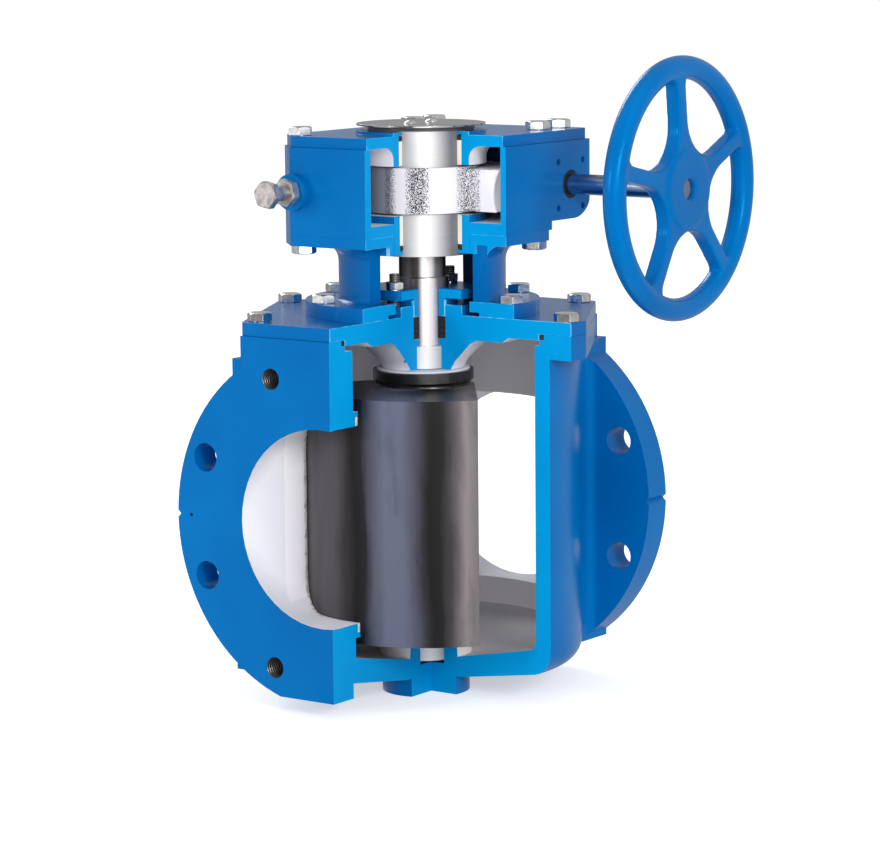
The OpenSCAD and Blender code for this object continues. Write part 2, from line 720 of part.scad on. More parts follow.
module worm_rear_bearing() color([0.72, 0.55, 0.30]) raised() on_worm_axis()
    bush_y(shaft_r + run_gap, bearing_or, bearing_low, bearing_high);

module shaft_seal() color([0.06, 0.06, 0.07]) raised() on_worm_axis()
    bush_y(shaft_r + run_gap, seal_or, -housing_half_y, -housing_half_y + seal_t);

module worm_end_cap() color([0.0, 0.42, 0.73]) raised() on_worm_axis() difference() {
    union() {
        translate([0, housing_half_y + cap_t, 0]) rotate([90, 0, 0]) linear_extrude(cap_t)
            neck_outline(cap_half_x + 8, cap_half_z + 8, 8);
        rod_y(bearing_or - 0.1, housing_half_y - 2 * cap_t, housing_half_y + 1);
    }
    for (x = [-cap_half_x, cap_half_x], z = [-cap_half_z, cap_half_z]) translate([x, 0, z])
        rod_y(m6[0] + 0.3, housing_half_y - 1, housing_half_y + cap_t + 1);
}

module end_cap_screws() color([0.72, 0.72, 0.72]) raised() on_worm_axis()
    for (x = [-cap_half_x, cap_half_x], z = [-cap_half_z, cap_half_z])
        translate([x, housing_half_y + cap_t, z]) rotate([-90, 0, 0]) hex_bolt(m6, cap_t + cap_screw_reach);

// One turn of thread is steps long; each ring holds the four corners of the thread's section
function thread_ring(t, half_root, half_tip) =
    let (a = 90 + t, y = -worm_lead * t / 360)
    [for (p = [[worm_root_r - 1, half_root], [worm_tip_r, half_tip],
               [worm_tip_r, -half_tip], [worm_root_r - 1, -half_root]])
        [-p[0] * sin(a), y + p[1], p[0] * cos(a)]];

module worm_thread() {
    steps = 20;
    last = round(steps * worm_half / worm_lead);
    flank = tan(20);
    half_tip = worm_lead / 4 - gear_module * flank - flank_gap / 2;
    half_root = worm_lead / 4 + (worm_pitch_r - worm_root_r + 1) * flank - flank_gap / 2;
    rings = [for (i = [-last : last]) thread_ring(i * 360 / steps, half_root, half_tip)];
    n = len(rings);
    polyhedron(
        points = [for (r = rings) each r],
        faces = concat([[3, 2, 1, 0]], [[4 * n - 4, 4 * n - 3, 4 * n - 2, 4 * n - 1]],
            [for (i = [0 : n - 2], k = [0 : 3]) let (a = 4 * i + k, b = 4 * i + (k + 1) % 4)
                each [[a, b, a + 4], [b, b + 4, a + 4]]]));
}

module worm_shaft() color([0.62, 0.64, 0.67]) raised() on_worm_axis() {
    difference() {
        union() {
            rod_y(shaft_r, shaft_recess - rim_y - hub_dish, shaft_end_y);
            rod_y(worm_root_r, 1 - bearing_low, bearing_low - 1);
            worm_thread();
        }
        wheel_key_seat();
    }
}

module wheel_key_seat() translate([shaft_r - wheel_key_w / 2, -rim_y, -wheel_key_w / 2])
    cube([wheel_key_w, hub_back, wheel_key_w]);

module shaft_key() color([0.55, 0.55, 0.55]) raised() on_worm_axis() wheel_key_seat();

// Handwheel

// The window between two spokes, its middle on the X axis
module wheel_window() {
    half = 180 / spoke_count;
    edge = spoke_w / 2;
    reach = sqrt(pow(web_r - rim_fillet, 2) - pow(edge + rim_fillet, 2));
    k = reach * [cos(half), -sin(half)] + (edge + rim_fillet) * [sin(half), cos(half)];
    turn = atan2(k[1], k[0]);
    polygon(concat(
        arc(k[0], k[1], rim_fillet, -90 - half, turn),
        arc(0, 0, web_r, turn, -turn, 12),
        arc(k[0], -k[1], rim_fillet, -turn, 90 + half),
        arc((edge + hub_fillet) / sin(half), 0, hub_fillet, 90 + half, 270 - half, 12)));
}

module handwheel() color([0.0, 0.42, 0.73]) raised() on_worm_axis() difference() {
    union() {
        translate([0, -rim_y, 0]) rotate([90, 0, 0]) rotate_extrude()
            translate([wheel_od / 2 - rim_d / 2, 0]) circle(r = rim_d / 2, $fn = 32);
        translate([0, spoke_t - web_front, 0]) rotate([90, 0, 0]) linear_extrude(spoke_t) difference() {
            circle(r = web_r);
            for (i = [0 : spoke_count - 1]) rotate(spoke_start + (i + 0.5) * 360 / spoke_count)
                wheel_window();
        }
        rod_y(hub_face_r, -rim_y - hub_dish, -rim_y);
        rod_y(hub_boss_r, -rim_y, -rim_y + hub_back);
    }
    rod_y(shaft_r, -rim_y - hub_dish - 1, -rim_y + hub_back + 1);
    wheel_key_seat();
    translate([0, -rim_y + set_screw_y, 0]) rotate([0, -60, 0]) rod_x(set_screw_r, 0, hub_boss_r + 1);
}

module handwheel_set_screw() color([0.55, 0.55, 0.55]) raised() on_worm_axis()
    translate([0, -rim_y + set_screw_y, 0]) rotate([0, -60, 0])
        rod_x(set_screw_r, shaft_r, hub_boss_r - 1);

// Plug

function face_point(side, inset) =
    let (a = face_half_angle - asin(1.2 * inset / face_r), r = face_r - inset)
    [-r * cos(a), -eccentricity + side * r * sin(a)];

// Where a line from point p touches a circle of radius r round the stem axis
function tangent_point(p, r, side) =
    let (a = atan2(p[1], p[0]) - side * acos(r / norm(p))) [r * cos(a), r * sin(a)];

function beyond(p) = [0, -eccentricity] + 2 * (p - [0, -eccentricity]);

// Plan of the plug: the sealing face, two flanks and the hub column, drawn in by inset
module plug_plan(inset) {
    left = face_point(1, inset);
    right = face_point(-1, inset);
    circle(r = hub_r - inset);
    intersection() {
        translate([0, -eccentricity]) circle(r = face_r - inset);
        polygon([tangent_point(right, hub_r - inset, -1), right, beyond(right), beyond(left), left,
            tangent_point(left, hub_r - inset, 1)]);
    }
}

// Collar on the plug, with a round groove under its lip
module collar(inset) difference() {
    rod_z(collar_r - inset, 0, collar_top - inset);
    rotate_extrude() translate([collar_r + 0.4, plug_top + 2]) circle(r = 2.5, $fn = 24);
}

module plug_form(inset) {
    translate([0, 0, -plug_bottom + inset])
        linear_extrude(plug_top + plug_bottom - 2 * inset) plug_plan(inset);
    collar(inset);
}

module stem_and_journal() {
    rod_z(stem_r, -journal_boss_top - journal_depth + 4, stem_shoulder);
    rod_z(stem_end_r, stem_shoulder - 1, sleeve_low + sleeve_socket);
}

// Square key from low to high whose middle lies on the surface at distance x
module key_at(x, low, high) translate([x - stem_key_w / 2, -stem_key_w / 2, low])
    cube([stem_key_w, stem_key_w, high - low]);

module stem_key_seat() key_at(stem_end_r, sleeve_low + 6, sleeve_low + sleeve_socket - 6);
module sleeve_key_seat() key_at(-sleeve_r, gear_z - sleeve_key_half, gear_z + sleeve_key_half);

module plug_casting() color([0.60, 0.58, 0.56]) raised() difference() {
    union() {
        plug_form(rubber_t);
        stem_and_journal();
    }
    stem_key_seat();
}

module plug_rubber() color([0.16, 0.16, 0.17]) raised() difference() {
    plug_form(0);
    plug_form(rubber_t);
    stem_and_journal();
}

module stem_key() color([0.55, 0.55, 0.55]) raised() stem_key_seat();

// Drive sleeve, worm wheel and indicator

module drive_sleeve() color([0.78, 0.78, 0.77]) raised() difference() {
    rod_z(sleeve_r, sleeve_low, sleeve_top);
    rod_z(stem_end_r, sleeve_low - 1, sleeve_low + sleeve_socket + 1);
    key_at(stem_end_r, sleeve_low - 1, sleeve_low + sleeve_socket - 6);
    sleeve_key_seat();
    for (x = [-screw_x, screw_x]) translate([x, 0, 0]) rod_z(m5[0], sleeve_top - 12, sleeve_top + 1);
}

module sleeve_key() color([0.55, 0.55, 0.55]) raised() sleeve_key_seat();

// Half section of the toothed rim, hollowed so that it wraps a little round the worm
module rim_section() difference() {
    translate([wheel_hub_r - 2, -wheel_h / 2]) square([wheel_rim_r - wheel_hub_r + 2, wheel_h]);
    translate([wheel_throat_r + throat_r, 0]) circle(r = throat_r);
}

// The space between two teeth, a straight slot laid over at the worm's lead angle
module tooth_space() rotate([-lead_angle, 0, 0]) translate([0, 0, -far / 8]) linear_extrude(far / 4) {
    root = gear_module - tooth_depth;
    tip = gear_module;
    clear = tip + 6;
    w = worm_lead / 4 + flank_gap;
    root_w = w - 1.05;
    tip_w = w + 1.4;
    polygon([[root, -root_w], [0, -w], [tip, -tip_w], [clear, -tip_w],
        [clear, tip_w], [tip, tip_w], [0, w], [root, root_w]]);
}

module worm_wheel() color([0.74, 0.74, 0.73]) raised() translate([0, 0, gear_z]) difference() {
    union() {
        translate([0, 0, -wheel_hub_h / 2]) cylinder(r = wheel_hub_r, h = wheel_hub_h);
        rotate(-valve_turn - sector_lead) rotate_extrude(angle = valve_turn + sector_lead + sector_tail)
            rim_section();
    }
    for (i = [first_space : last_space]) rotate(i * tooth_pitch) translate([wheel_pitch_r, 0, 0]) tooth_space();
    translate([0, 0, -far / 2]) cylinder(r = sleeve_r, h = far);
    translate([0, 0, -gear_z]) sleeve_key_seat();
}

module indicator_base() color([0.30, 0.31, 0.33]) raised() difference() {
    rod_z(sleeve_r + 2, sleeve_top, plate_low_z);
    for (x = [-screw_x, screw_x]) translate([x, 0, 0]) rod_z(m5[0], sleeve_top - 1, plate_low_z + 1);
}

module indicator_plate() color([0.70, 0.70, 0.68]) raised() difference() {
    rod_z(plate_r, plate_low_z, plate_top_z);
    for (x = [-screw_x, screw_x]) translate([x, 0, 0]) rod_z(m5[0], plate_low_z - 1, plate_top_z + 1);
}

module indicator_screws() color([0.72, 0.72, 0.72]) raised() for (x = [-screw_x, screw_x])
    translate([x, 0, plate_top_z]) {
        intersection() {
            translate([0, 0, -4]) sphere(r = 6.5);
            cylinder(r = 5, h = 4);
        }
        translate([0, 0, -14]) cylinder(r = m5[0], h = 14 + touch);
    }

// Open stop

module stop_bolt() color([0.62, 0.60, 0.57]) raised() translate([0, stop_y, gear_z]) {
    rod_x(m12[0], -stop_head_x - touch, -stop_tip_x);
    translate([-stop_head_x, 0, 0]) rotate([0, -90, 0]) cylinder(r = m12[1] / 2 / cos(30), h = m12[2], $fn = 6);
}

module stop_nut() color([0.66, 0.64, 0.60]) raised() translate([-housing_left - stop_boss, stop_y, gear_z])
    rotate([0, -90, 0]) difference() {
        cylinder(r = m12[1] / 2 / cos(30), h = stop_nut_t, $fn = 6);
        translate([0, 0, -1]) cylinder(r = m12[0] + run_gap, h = stop_nut_t + 2);
    }

valve_body();
seat_ring();
lower_journal_bushing();
lower_thrust_washer();
upper_thrust_washer();
bonnet();
bonnet_o_ring();
bonnet_bolts();
upper_journal_bushing();
packing_rings();
packing_gland();
gland_studs();
gland_nuts();
gearbox_adapter();
adapter_base_bolts();
adapter_top_bolts();
gear_housing();
housing_cover();
cover_bolts();
upper_sleeve_bushing();
lower_sleeve_bushing();
upper_sleeve_o_ring();
lower_sleeve_o_ring();
worm_front_bearing();
worm_rear_bearing();
worm_end_cap();
end_cap_screws();
shaft_seal();
stop_nut();
plug_casting();
plug_rubber();
stem_key();
drive_sleeve();
sleeve_key();
worm_wheel();
indicator_base();
indicator_plate();
indicator_screws();
worm_shaft();
shaft_key();
handwheel();
handwheel_set_screw();
stop_bolt();
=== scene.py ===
import json
import math

import bmesh
import bpy
from mathutils import Matrix, Vector


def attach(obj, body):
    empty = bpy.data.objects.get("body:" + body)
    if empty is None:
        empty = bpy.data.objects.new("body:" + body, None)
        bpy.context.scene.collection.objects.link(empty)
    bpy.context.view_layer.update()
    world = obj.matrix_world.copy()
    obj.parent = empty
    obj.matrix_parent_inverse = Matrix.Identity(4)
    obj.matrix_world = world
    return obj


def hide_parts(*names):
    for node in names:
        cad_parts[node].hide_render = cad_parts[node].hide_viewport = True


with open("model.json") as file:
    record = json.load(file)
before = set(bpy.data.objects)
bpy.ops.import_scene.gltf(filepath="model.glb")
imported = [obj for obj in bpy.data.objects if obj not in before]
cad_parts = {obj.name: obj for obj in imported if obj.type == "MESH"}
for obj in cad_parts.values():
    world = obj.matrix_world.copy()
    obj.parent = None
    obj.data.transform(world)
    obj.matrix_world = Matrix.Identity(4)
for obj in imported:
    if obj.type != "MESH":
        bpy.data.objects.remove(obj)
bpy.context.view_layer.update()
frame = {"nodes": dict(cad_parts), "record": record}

cadNodes = frame["nodes"]
record = frame["record"]
bodyOf = {node: body for body, members in record["behaviour"]["bodies"].items() for node in members}
scene = bpy.context.scene
scene.view_settings.view_transform = "Standard"
print("frame loaded:", len(cadNodes), "nodes")


def placed(name, data):
    made = bpy.data.objects.new(name, data)
    scene.collection.objects.link(made)
    return made


# Camera, floor, world and lamps

shot = {
    "azimuth": 35.72,        # degrees from the flow axis towards the handwheel's side
    "elevation": 8.41,
    "roll": 0.51,
    "distance": 2.70847,     # metres from the middle of the flow passage
    "across": 0.01269,
    "upward": 0.06265,
    "aimHeight": 0.1465,
    "lens": 141.16,
    "sensor": 36,
}

studio = {
    "floorSize": 16,
    "floorColor": 0.86,
    "floorGlow": 0.50,
    "skyDiffuse": 0.62,
    "aimHeight": 0.25,
    # what gloss and metal see all round: azimuth in degrees and brightness
    "surround": [(0, 0.5), (60, 0.3), (100, 0.3), (118, 0.5), (140, 0.9), (160, 0.75), (180, 0.25),
                 (198, 0.18), (216, 0.55), (234, 1.1), (256, 1.2), (280, 0.8), (300, 0.4), (330, 0.5),
                 (360, 0.5)],
    # name, azimuth, height and distance in metres, width, watts
    "lamps": [
        ("key", 240, 1.15, 2.6, 0.7, 30),
        ("front", 219, 0.50, 2.6, 1.4, 14),
        ("fill", 160, 0.9, 2.8, 0.45, 16),
        ("rim", 60, 1.8, 2.4, 1.2, 22),
    ],
}
white = (1, 1, 1, 1)


def placeCamera():
    azimuth, elevation, roll = (math.radians(shot[key]) for key in ("azimuth", "elevation", "roll"))
    back = Vector((-math.cos(elevation) * math.cos(azimuth), -math.cos(elevation) * math.sin(azimuth),
                   math.sin(elevation)))
    right = Vector((math.sin(azimuth), -math.cos(azimuth), 0))
    up = back.cross(right)
    data = bpy.data.cameras.new("camera")
    data.lens = shot["lens"]
    data.sensor_width = shot["sensor"]
    camera = placed("camera", data)
    turned = Matrix((right * math.cos(roll) - up * math.sin(roll),
                     right * math.sin(roll) + up * math.cos(roll), back)).transposed().to_4x4()
    turned.translation = (Vector((0, 0, shot["aimHeight"])) + back * shot["distance"]
                          + right * shot["across"] + up * shot["upward"])
    camera.matrix_world = turned
    scene.camera = camera


def placeLamps():
    aim = Vector((0, 0, studio["aimHeight"]))
    for name, azimuth, height, distance, width, watts in studio["lamps"]:
        data = bpy.data.lights.new(name, "AREA")
        data.shape = "SQUARE"
        data.size = width
        data.energy = watts
        lamp = placed(name, data)
        turn = math.radians(azimuth)
        lamp.location = (distance * math.cos(turn), distance * math.sin(turn), height)
        lamp.rotation_euler = (aim - lamp.location).to_track_quat("-Z", "Y").to_euler()


# Sockets that sums can be written with, for shaders and for geometry alike

class Value:
    def __init__(self, tree, socket):
        self.tree, self.socket = tree, socket

    def maths(self, operation, left, right=0.0):
        return self.tree.add("ShaderNodeMath", {"operation": operation}, {0: left, 1: right})

    def __add__(self, other):
        return self.maths("ADD", self, other)

    def __radd__(self, other):
        return self.maths("ADD", other, self)

    def __sub__(self, other):
        return self.maths("SUBTRACT", self, other)

    def __rsub__(self, other):
        return self.maths("SUBTRACT", other, self)

    def __mul__(self, other):
        return self.maths("MULTIPLY", self, other)

    def __rmul__(self, other):
        return self.maths("MULTIPLY", other, self)

    def __truediv__(self, other):
        return self.maths("DIVIDE", self, other)

    def __rtruediv__(self, other):
        return self.maths("DIVIDE", other, self)

    def __abs__(self):
        return self.maths("ABSOLUTE", self)

    def clamped(self):
        return self.tree.add("ShaderNodeClamp", {}, {0: self})

    def band(self, middle, half, soft):
        # 1 within half of the middle, falling to 0 over soft
        return ((half + soft - abs(self - middle)) / soft).clamped()

    def bands(self, rows):
        # the sum of bands given by middle, half, soft and share
        return sum(self.band(middle, half, soft) * share for middle, half, soft, share in rows)

    def above(self, edge, soft):
        return ((self - edge) / soft).clamped()


class Tree:
    def __init__(self, nodeTree):
        self.nodeTree = nodeTree

    def add(self, kind, settings, values, output=0):
        node = self.nodeTree.nodes.new(kind)
        for key, value in settings.items():
            if key == "stops":
                self.setStops(node.color_ramp.elements, value)
            else:
                setattr(node, key, value)
        for key, value in values.items():
            self.feed(node.inputs[key], value)
        return Value(self, node.outputs[output]) if len(node.outputs) else node

    def setStops(self, elements, stops):
        for place, _ in stops[1:-1]:
            elements.new(place)
        elements[0].position, elements[-1].position = stops[0][0], stops[-1][0]
        for element, (_, color) in zip(elements, stops):
            element.color = color

    def feed(self, socket, value):
        if isinstance(value, (list, tuple)) and value and isinstance(value[0], Value):
            for one in value:
                self.nodeTree.links.new(one.socket, socket)
        elif isinstance(value, Value):
            self.nodeTree.links.new(value.socket, socket)
        else:
            socket.default_value = value

    def ramp(self, value, stops):
        return self.add("ShaderNodeValToRGB", {"stops": stops}, {0: value})

    def glow(self, strength):
        return self.add("ShaderNodeEmission", {}, {"Color": white, "Strength": strength})

    def rays(self, *names):
        return [self.add("ShaderNodeLightPath", {}, {}, name) for name in names]

    def parts(self, vector):
        return [self.add("ShaderNodeSeparateXYZ", {}, {0: vector}, i) for i in range(3)]


def srgb(red, green, blue):
    def linear(part):
        part /= 255
        return part / 12.92 if part <= 0.04045 else ((part + 0.055) / 1.055) ** 2.4
    return (linear(red), linear(green), linear(blue), 1)


# the painted highlight, reflections and shade in upright bands are laid across this side
streakTurn = math.radians(35.7)     # the streaks stand upright as seen from this side
alongY = (30, 2600, 30)
alongZ = (30, 30, 2600)


class Finish(Tree):
    # a material's tree, with the object's own coordinates at hand
    def __init__(self, name):
        self.material = bpy.data.materials.new(name)
        self.material.use_nodes = True
        super().__init__(self.material.node_tree)
        self.nodeTree.nodes.clear()
        self.place = self.add("ShaderNodeTexCoord", {}, {}, "Object")

    def axes(self):
        return self.parts(self.place)

    def across(self):
        x, y, _ = self.axes()
        return x * math.sin(streakTurn) - y * math.cos(streakTurn)

    def noise(self, scale, detail=2, rough=0.5, vector=None):
        return self.add("ShaderNodeTexNoise", {}, {"Vector": vector or self.place, "Scale": scale,
                                                   "Detail": detail, "Roughness": rough})

    def lines(self, scale, detail=3):
        # noise drawn out along the axes with a low scale
        drawn = self.add("ShaderNodeMapping", {}, {"Vector": self.place, "Scale": scale})
        return self.noise(1, detail, 0.6, drawn)

    def mix(self, factor, first, second):
        return self.add("ShaderNodeMix", {"data_type": "RGBA"}, {0: factor, 6: first, 7: second}, 2)

    def bump(self, height, strength, distance):
        return self.add("ShaderNodeBump", {}, {"Height": height, "Strength": strength, "Distance": distance})

    def surface(self, values):
        shader = self.add("ShaderNodeBsdfPrincipled", {}, values)
        self.add("ShaderNodeOutputMaterial", {}, {"Surface": shader})
        return self.material


def glossySurround(tree, place):
    # brightness in reflections, by the direction round the stem
    east, north, _ = tree.parts(place)
    turn = north.maths("ARCTAN2", north, east) / math.tau
    share = turn.maths("FRACT", turn + 1)
    return tree.ramp(share, [(azimuth / 360, (light, light, light, 1)) for azimuth, light in studio["surround"]])


def makeFloor():
    half = studio["floorSize"] / 2
    corners = [(-half, -half, 0), (half, -half, 0), (half, half, 0), (-half, half, 0)]
    mesh = bpy.data.meshes.new("floor")
    mesh.from_pydata(corners, [], [(0, 1, 2, 3)])
    floor = placed("floor", mesh)
    look = Finish("floorPaper")
    grey = studio["floorColor"]
    paper = look.add("ShaderNodeBsdfDiffuse", {}, {"Color": (grey, grey, grey, 1)})
    direct, mirrored = look.rays("Is Camera Ray", "Is Glossy Ray")
    both = look.add("ShaderNodeAddShader", {}, {0: paper, 1: look.glow(direct * studio["floorGlow"])})
    around = look.glow(glossySurround(look, look.place))
    shader = look.add("ShaderNodeMixShader", {}, {0: mirrored, 1: both, 2: around})
    look.add("ShaderNodeOutputMaterial", {}, {"Surface": shader})
    mesh.materials.append(look.material)


def makeSky():
    world = bpy.data.worlds.new("sky")
    scene.world = world
    world.use_nodes = True
    sky = Tree(world.node_tree)
    world.node_tree.nodes.clear()
    direct, mirrored, passed = sky.rays("Is Camera Ray", "Is Glossy Ray", "Is Transmission Ray")
    place = sky.add("ShaderNodeTexCoord", {}, {}, "Generated")
    through = (direct + passed).clamped()
    strength = (through + mirrored * glossySurround(sky, place)
                + (1 - through - mirrored).clamped() * studio["skyDiffuse"])
    background = sky.add("ShaderNodeBackground", {}, {"Color": white, "Strength": strength})
    sky.add("ShaderNodeOutputWorld", {}, {"Surface": background})


placeCamera()
placeLamps()
makeFloor()
makeSky()
print("studio ready")

# Finishes

enamel = {
    "outside": (0, 110, 182),
    "shade": (0, 98, 168),
    "section": (0, 152, 216),
    "sectionShade": (0, 142, 208),
    # painted highlight colour for the rounded edges beside the cut faces
    "edge": (120, 200, 240),
    # painted shade colours for the faces that look in at the stem
    "shadow": (9, 22, 48),
    "shadowLight": (16, 44, 92),
    "roughness": 0.20,
    "gloss": 0.35,
    "tint": (0.04, 0.5, 1, 1),     # the gloss takes the enamel's colour
}


def glossEnamel():
    look = Finish("glossEnamel")
    slow = look.noise(9, 2)
    skin = look.noise(420, 3)
    color = look.mix(slow.above(0.35, 0.3), srgb(*enamel["shade"]), srgb(*enamel["outside"]))
    cast = look.noise(1100, 1) * 0.5 + skin * 0.5
    return look.surface({
        "Base Color": color, "Roughness": enamel["roughness"] + skin * 0.10 - 0.05,
        "Specular IOR Level": enamel["gloss"], "Specular Tint": enamel["tint"],
        "Normal": look.bump(cast, 0.45, 0.0004)})


def sectionEnamel():
    look = Finish("sectionEnamel")
    slow = look.noise(14, 2)
    color = look.mix(slow.above(0.3, 0.4), srgb(*enamel["sectionShade"]), srgb(*enamel["section"]))
    return look.surface({
        "Base Color": color, "Roughness": 0.5 + look.noise(300, 2) * 0.1,
        "Specular IOR Level": 0.3, "Specular Tint": enamel["tint"],
        "Normal": look.bump(look.noise(900, 2), 0.1, 0.0002)})


def edgeHighlightEnamel():
    # painted highlight: light cyan patches on the rounded edges beside the cut faces
    look = Finish("edgeHighlightEnamel")
    color = look.mix(look.noise(120, 2).above(0.4, 0.2), srgb(*enamel["section"]), srgb(*enamel["edge"]))
    return look.surface({"Base Color": color, "Roughness": 0.3, "Specular IOR Level": 0.5})


def shadowEnamel():
    # painted shade: dark enamel on the faces that look in at the stem, where shade falls between the legs
    look = Finish("shadowEnamel")
    slow = look.noise(30, 3)
    color = look.mix(slow.above(0.35, 0.4), srgb(*enamel["shadow"]), srgb(*enamel["shadowLight"]))
    return look.surface({
        "Base Color": color, "Roughness": 0.5 + slow * 0.2, "Specular IOR Level": 0.2,
        "Normal": look.bump(look.noise(600, 3), 0.2, 0.0003)})


def flatGrey(name, color, mottled, roughness=0.55, gloss=0.3):
    look = Finish(name)
    slow = look.noise(12, 3)
    return look.surface({
        "Base Color": look.mix(slow, srgb(*mottled), srgb(*color)),
        "Roughness": roughness + look.noise(200, 2) * 0.1 - 0.05, "Specular IOR Level": gloss,
        "Normal": look.bump(look.noise(600, 3), 0.2, 0.0003)})


def threadedSteel(name, along, pitch):
    # the ridges of a thread, round the axis given by its number, with painted light on the crests and painted
    # shade in the grooves
    look = Finish(name)
    turns = look.axes()[along] * (math.tau / pitch)
    ridge = turns.maths("SINE", turns) * 0.5 + 0.5
    return look.surface({
        "Base Color": look.mix(ridge, srgb(62, 58, 56), srgb(176, 170, 166)), "Metallic": 0.85,
        "Roughness": 0.38, "Normal": look.bump(ridge, 1.0, pitch / 4)})


def turnedMetal(name, color, dark, roughness, scale):
    # fine turning lines, close along the axis with the high scale
    look = Finish(name)
    lines = look.lines(scale)
    blotch = look.noise(40, 3)
    return look.surface({
        "Base Color": look.mix(blotch * 0.35, srgb(*color), srgb(*dark)), "Metallic": 1.0,
        "Roughness": roughness + lines * 0.12 - 0.06, "Normal": look.bump(lines, 0.15, 0.0001)})


def brushedSleeve():
    # brushed round, with a painted highlight: an upright bright band down the side that faces the open gear case
    look = Finish("stainless")
    paintedSheen = look.across().band(0.001, 0.002, 0.020) + (look.lines((30, 30, 2200)) - 0.5) * 0.16
    return look.surface({
        "Base Color": look.mix(paintedSheen.clamped(), srgb(120, 118, 120), srgb(238, 236, 234)),
        "Metallic": 0.15, "Roughness": 0.4, "Specular IOR Level": 0.4})


# the stem's painted shade, dark lines along it that stand in for dark reflections: direction in radians, half
# width, softness, share
stemPaintedShade = [(-2.82, 0.10, 0.20, 0.85), (-0.75, 0.60, 0.35, 1), (1.9, 0.60, 0.35, 1)]


def polishedStem():
    # turned, with painted shade: dark brown lines that run along it in place of dark reflections
    look = Finish("stemSteel")
    x, y, _ = look.axes()
    lines = look.lines(alongZ)
    paintedShade = (y.maths("ARCTAN2", y, x).bands(stemPaintedShade) + (lines - 0.5) * 0.2).clamped()
    return look.surface({
        "Base Color": look.mix(paintedShade, srgb(214, 208, 210), srgb(62, 54, 56)), "Metallic": 0.85,
        "Roughness": 0.26 + lines * 0.10, "Normal": look.bump(lines, 0.15, 0.0001)})


def zincPlate():
    look = Finish("zincPlate")
    blotch = look.noise(160, 3)
    color = look.mix(blotch.above(0.40, 0.2), srgb(226, 224, 222), srgb(252, 252, 252))
    return look.surface({
        "Base Color": color, "Metallic": 1.0, "Roughness": 0.12 + blotch * 0.10,
        "Normal": look.bump(look.noise(700, 2), 0.2, 0.0001)})


def dullSteel():
    look = Finish("dullSteel")
    blotch = look.noise(220, 4)
    color = look.mix(blotch.above(0.32, 0.3), srgb(160, 152, 148), srgb(208, 202, 200))
    return look.surface({
        "Base Color": color, "Metallic": 0.9, "Roughness": 0.36 + blotch * 0.2,
        "Normal": look.bump(look.noise(900, 3), 0.3, 0.0001)})


# the wheel's dark bands: place across in metres, half width, softness, share
wheelDark = [(-0.003, 0.004, 0.006, 1), (0.036, 0.004, 0.006, 0.7), (-0.024, 0.001, 0.004, 0.6)]


def wheelIron():
    # silver casting with dark grains that gather in upright bands, and painted shade that greys one side
    look = Finish("wheelIron")
    across = look.across()
    dense = across.bands(wheelDark).clamped()
    grain = look.noise(1300, 1, 0.6)
    dark = (grain + dense * 0.13).above(0.585, 0.03) * dense.above(0.02, 0.2)
    # painted shade: past -0.021 across, the wheel turns a darker grey
    paintedShade = (-0.021 - across).above(0, 0.004)
    color = look.mix(paintedShade, srgb(232, 230, 236), srgb(140, 144, 156))
    return look.surface({
        "Base Color": look.mix(dark, color, srgb(16, 14, 20)), "Metallic": 0.0, "Roughness": 0.5,
        "Specular IOR Level": 0.4, "Normal": look.bump(grain, 0.3, 0.0002)})


# painted reflections and painted shade in upright bands across the plug: place across the plug in metres and
# colour
plugPaintedBands = [(-0.096, (74, 71, 74)), (-0.070, (72, 70, 74)), (-0.060, (42, 38, 42)), (-0.054, (8, 7, 9)),
           (-0.047, (24, 22, 28)), (-0.040, (74, 76, 90)), (-0.030, (94, 99, 118)), (-0.018, (92, 97, 118)),
           (-0.008, (70, 70, 84)), (-0.001, (40, 38, 46)), (0.005, (9, 8, 12)), (0.013, (10, 9, 12)),
           (0.019, (52, 48, 52)), (0.025, (90, 84, 88)), (0.032, (128, 120, 121)), (0.040, (108, 103, 105))]


def rubberSkin():
    look = Finish("rubberSkin")
    cloud = look.lines((34, 34, 9), 4)
    fine = look.lines((300, 300, 6))
    low, high = plugPaintedBands[0][0], plugPaintedBands[-1][0]
    # the painted reflection and shade bands, their edges wavered by the noise
    across = look.across() + (cloud - 0.5) * 0.016 + (fine - 0.5) * 0.004
    share = (across - low) / (high - low)
    paintedBandTones = look.ramp(share, [((place - low) / (high - low), srgb(*color)) for place, color in plugPaintedBands])
    worn = look.mix(cloud.above(0.50, 0.15) * 0.35, paintedBandTones, srgb(12, 11, 13))
    return look.surface({
        "Base Color": worn, "Roughness": 0.30 + fine * 0.16, "Specular IOR Level": 0.22,
        "Normal": look.bump(cloud * 0.7 + fine * 0.3, 0.15, 0.0006)})


def collarRubber():
    look = Finish("collarRubber")
    cloud = look.noise(60, 3)
    return look.surface({
        "Base Color": look.mix(cloud, srgb(10, 10, 12), srgb(26, 26, 28)), "Roughness": 0.16 + cloud * 0.2,
        "Specular IOR Level": 0.7, "Normal": look.bump(look.noise(70, 3), 0.35, 0.0006)})


def sealRubber():
    look = Finish("sealRubber")
    speck = look.noise(900, 2)
    return look.surface({
        "Base Color": look.mix(speck, srgb(18, 18, 20), srgb(40, 40, 44)), "Roughness": 0.55 + speck * 0.2,
        "Normal": look.bump(speck, 0.3, 0.0002)})


def creamPlastic():
    look = Finish("creamPlastic")
    slow = look.noise(50, 2)
    color = look.mix(slow, srgb(236, 229, 208), srgb(246, 242, 228))
    return look.surface({
        "Base Color": color, "Roughness": 0.45 + slow * 0.1,
        "Normal": look.bump(look.noise(500, 2), 0.1, 0.0002)})


def weldNickel():
    look = Finish("weldNickel")
    blotch = look.noise(240, 4, 0.6)
    color = look.mix(blotch.above(0.34, 0.2), srgb(196, 190, 182), srgb(252, 250, 248))
    return look.surface({
        "Base Color": color, "Metallic": 0.3, "Roughness": 0.28 + blotch * 0.2,
        "Normal": look.bump(blotch, 0.6, 0.0006)})


